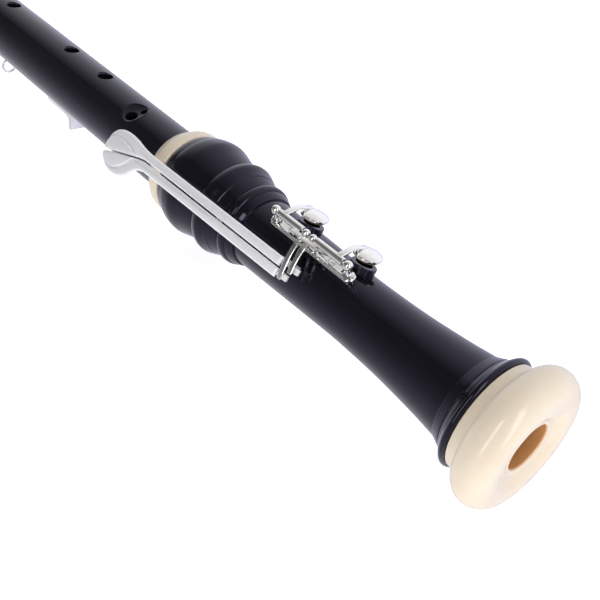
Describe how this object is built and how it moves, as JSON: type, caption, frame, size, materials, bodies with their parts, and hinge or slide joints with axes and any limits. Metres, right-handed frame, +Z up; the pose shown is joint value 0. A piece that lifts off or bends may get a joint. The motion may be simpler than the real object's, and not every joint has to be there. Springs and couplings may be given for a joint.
{
  "type": "bass recorder",
  "caption": "Take-apart bass recorder with beaded foot, cream rings, silver keys worked by long levers, thumb rest, strap ring, capped head and bent crook with mouthpiece.",
  "frame": {"origin": "centre of the bounding box in plan, at its lowest point, on the plane the recorder lies on", "axes": "+X along the bore from the head to the foot's open end, +Z up, the way the finger holes face, +Y to the player's left as seen from the foot with the holes up"},
  "size_m": [1.0584, 0.1758, 0.0724],
  "materials": {
    "black": "moulded, softly polished black",
    "cream": "moulded, polished ivory cream",
    "silver": "bright plated keywork",
    "steel": "plain spring and axle steel",
    "cork": "fine-grained cork sheet",
    "felt": "dense dark felt",
    "pad": "thin brown leather over felt"
  },
  "bodies": {
    "middle": {"middle_joint": "black", "lower_tenon_cork": "cork", "upper_tenon_cork": "cork", "thumb_rest": "silver", "thumb_rest_screw_1": "silver", "thumb_rest_screw_2": "silver", "strap_plate": "silver", "strap_plate_screw_1": "silver", "strap_plate_screw_2": "silver"},
    "strap_ring": {"strap_ring": "silver"},
    "foot": {"foot_joint": "black", "foot_end_ring": "cream", "foot_socket_ring": "cream", "key_base_plate": "silver", "plate_screw_1": "silver", "plate_screw_2": "silver", "post_1": "silver", "post_2": "silver", "post_3": "silver", "post_4": "silver", "hinge_rod_upper": "silver", "hinge_rod_lower": "silver", "upper_key_spring": "steel", "lower_key_spring": "steel", "lever_axle": "steel", "lever_pillar": "silver"},
    "lever_a": {"lever_a": "silver", "lever_a_felt": "felt"},
    "lever_b": {"lever_b": "silver", "lever_b_felt": "felt"},
    "upper_key": {"upper_key": "silver", "upper_pad": "pad"},
    "lower_key": {"lower_key": "silver", "lower_pad": "pad"},
    "head": {"head_joint": "black", "head_socket_ring": "cream", "windway_block": "cream", "cap_seal": "cork"},
    "cap": {"head_cap": "black", "cap_ring": "cream", "crook_ferrule": "silver"},
    "crook": {"crook_tube": "silver", "crook_cork": "cork", "crook_mouthpiece": "cream"}
  },
  "joints": [
    {"name": "strap_ring_swing", "type": "hinge", "parent": "middle", "child": "strap_ring", "pos_m": [0.07434, 0.05167, 0.01348], "axis": [0, 1, 0], "range_deg": [-60, 60]},
    {"name": "foot_turn", "type": "hinge", "parent": "middle", "child": "foot", "pos_m": [0.29, 0.05167, 0.0362], "axis": [1, 0, 0], "range_deg": [-25, 25]},
    {"name": "lever_a_press", "type": "hinge", "parent": "foot", "child": "lever_a", "pos_m": [0.34034, 0.02765, 0.0469], "axis": [0, -0.4067, -0.9135], "range_deg": [0, 2.9]},
    {"name": "lever_b_press", "type": "hinge", "parent": "foot", "child": "lever_b", "pos_m": [0.34034, 0.02765, 0.0469], "axis": [0, -0.4067, -0.9135], "range_deg": [0, 3.3]},
    {"name": "upper_key_hinge", "type": "hinge", "parent": "foot", "child": "upper_key", "pos_m": [0.375, 0.04182, 0.06187], "axis": [-1, 0, 0], "range_deg": [0, 7.7], "stiffness_Nm_per_rad": 0.02, "springref_deg": -28.65},
    {"name": "lower_key_hinge", "type": "hinge", "parent": "foot", "child": "lower_key", "pos_m": [0.405, 0.04182, 0.06187], "axis": [-1, 0, 0], "range_deg": [0, 9.3], "stiffness_Nm_per_rad": 0.02, "springref_deg": -28.65},
    {"name": "head_slide", "type": "slide", "parent": "middle", "child": "head", "axis": [-1, 0, 0], "range_m": [0, 0.034]},
    {"name": "cap_slide", "type": "slide", "parent": "head", "child": "cap", "axis": [-1, 0, 0], "range_m": [0, 0.025]},
    {"name": "crook_turn", "type": "hinge", "parent": "cap", "child": "crook", "pos_m": [-0.48, 0.05167, 0.0362], "axis": [1, 0, 0], "continuous": true}
  ],
  "couplings": [
    {"joint": "upper_key_hinge", "follows": "lever_b_press", "ratio": 2.3333},
    {"joint": "lower_key_hinge", "follows": "lever_a_press", "ratio": 3.2068}
  ]
}
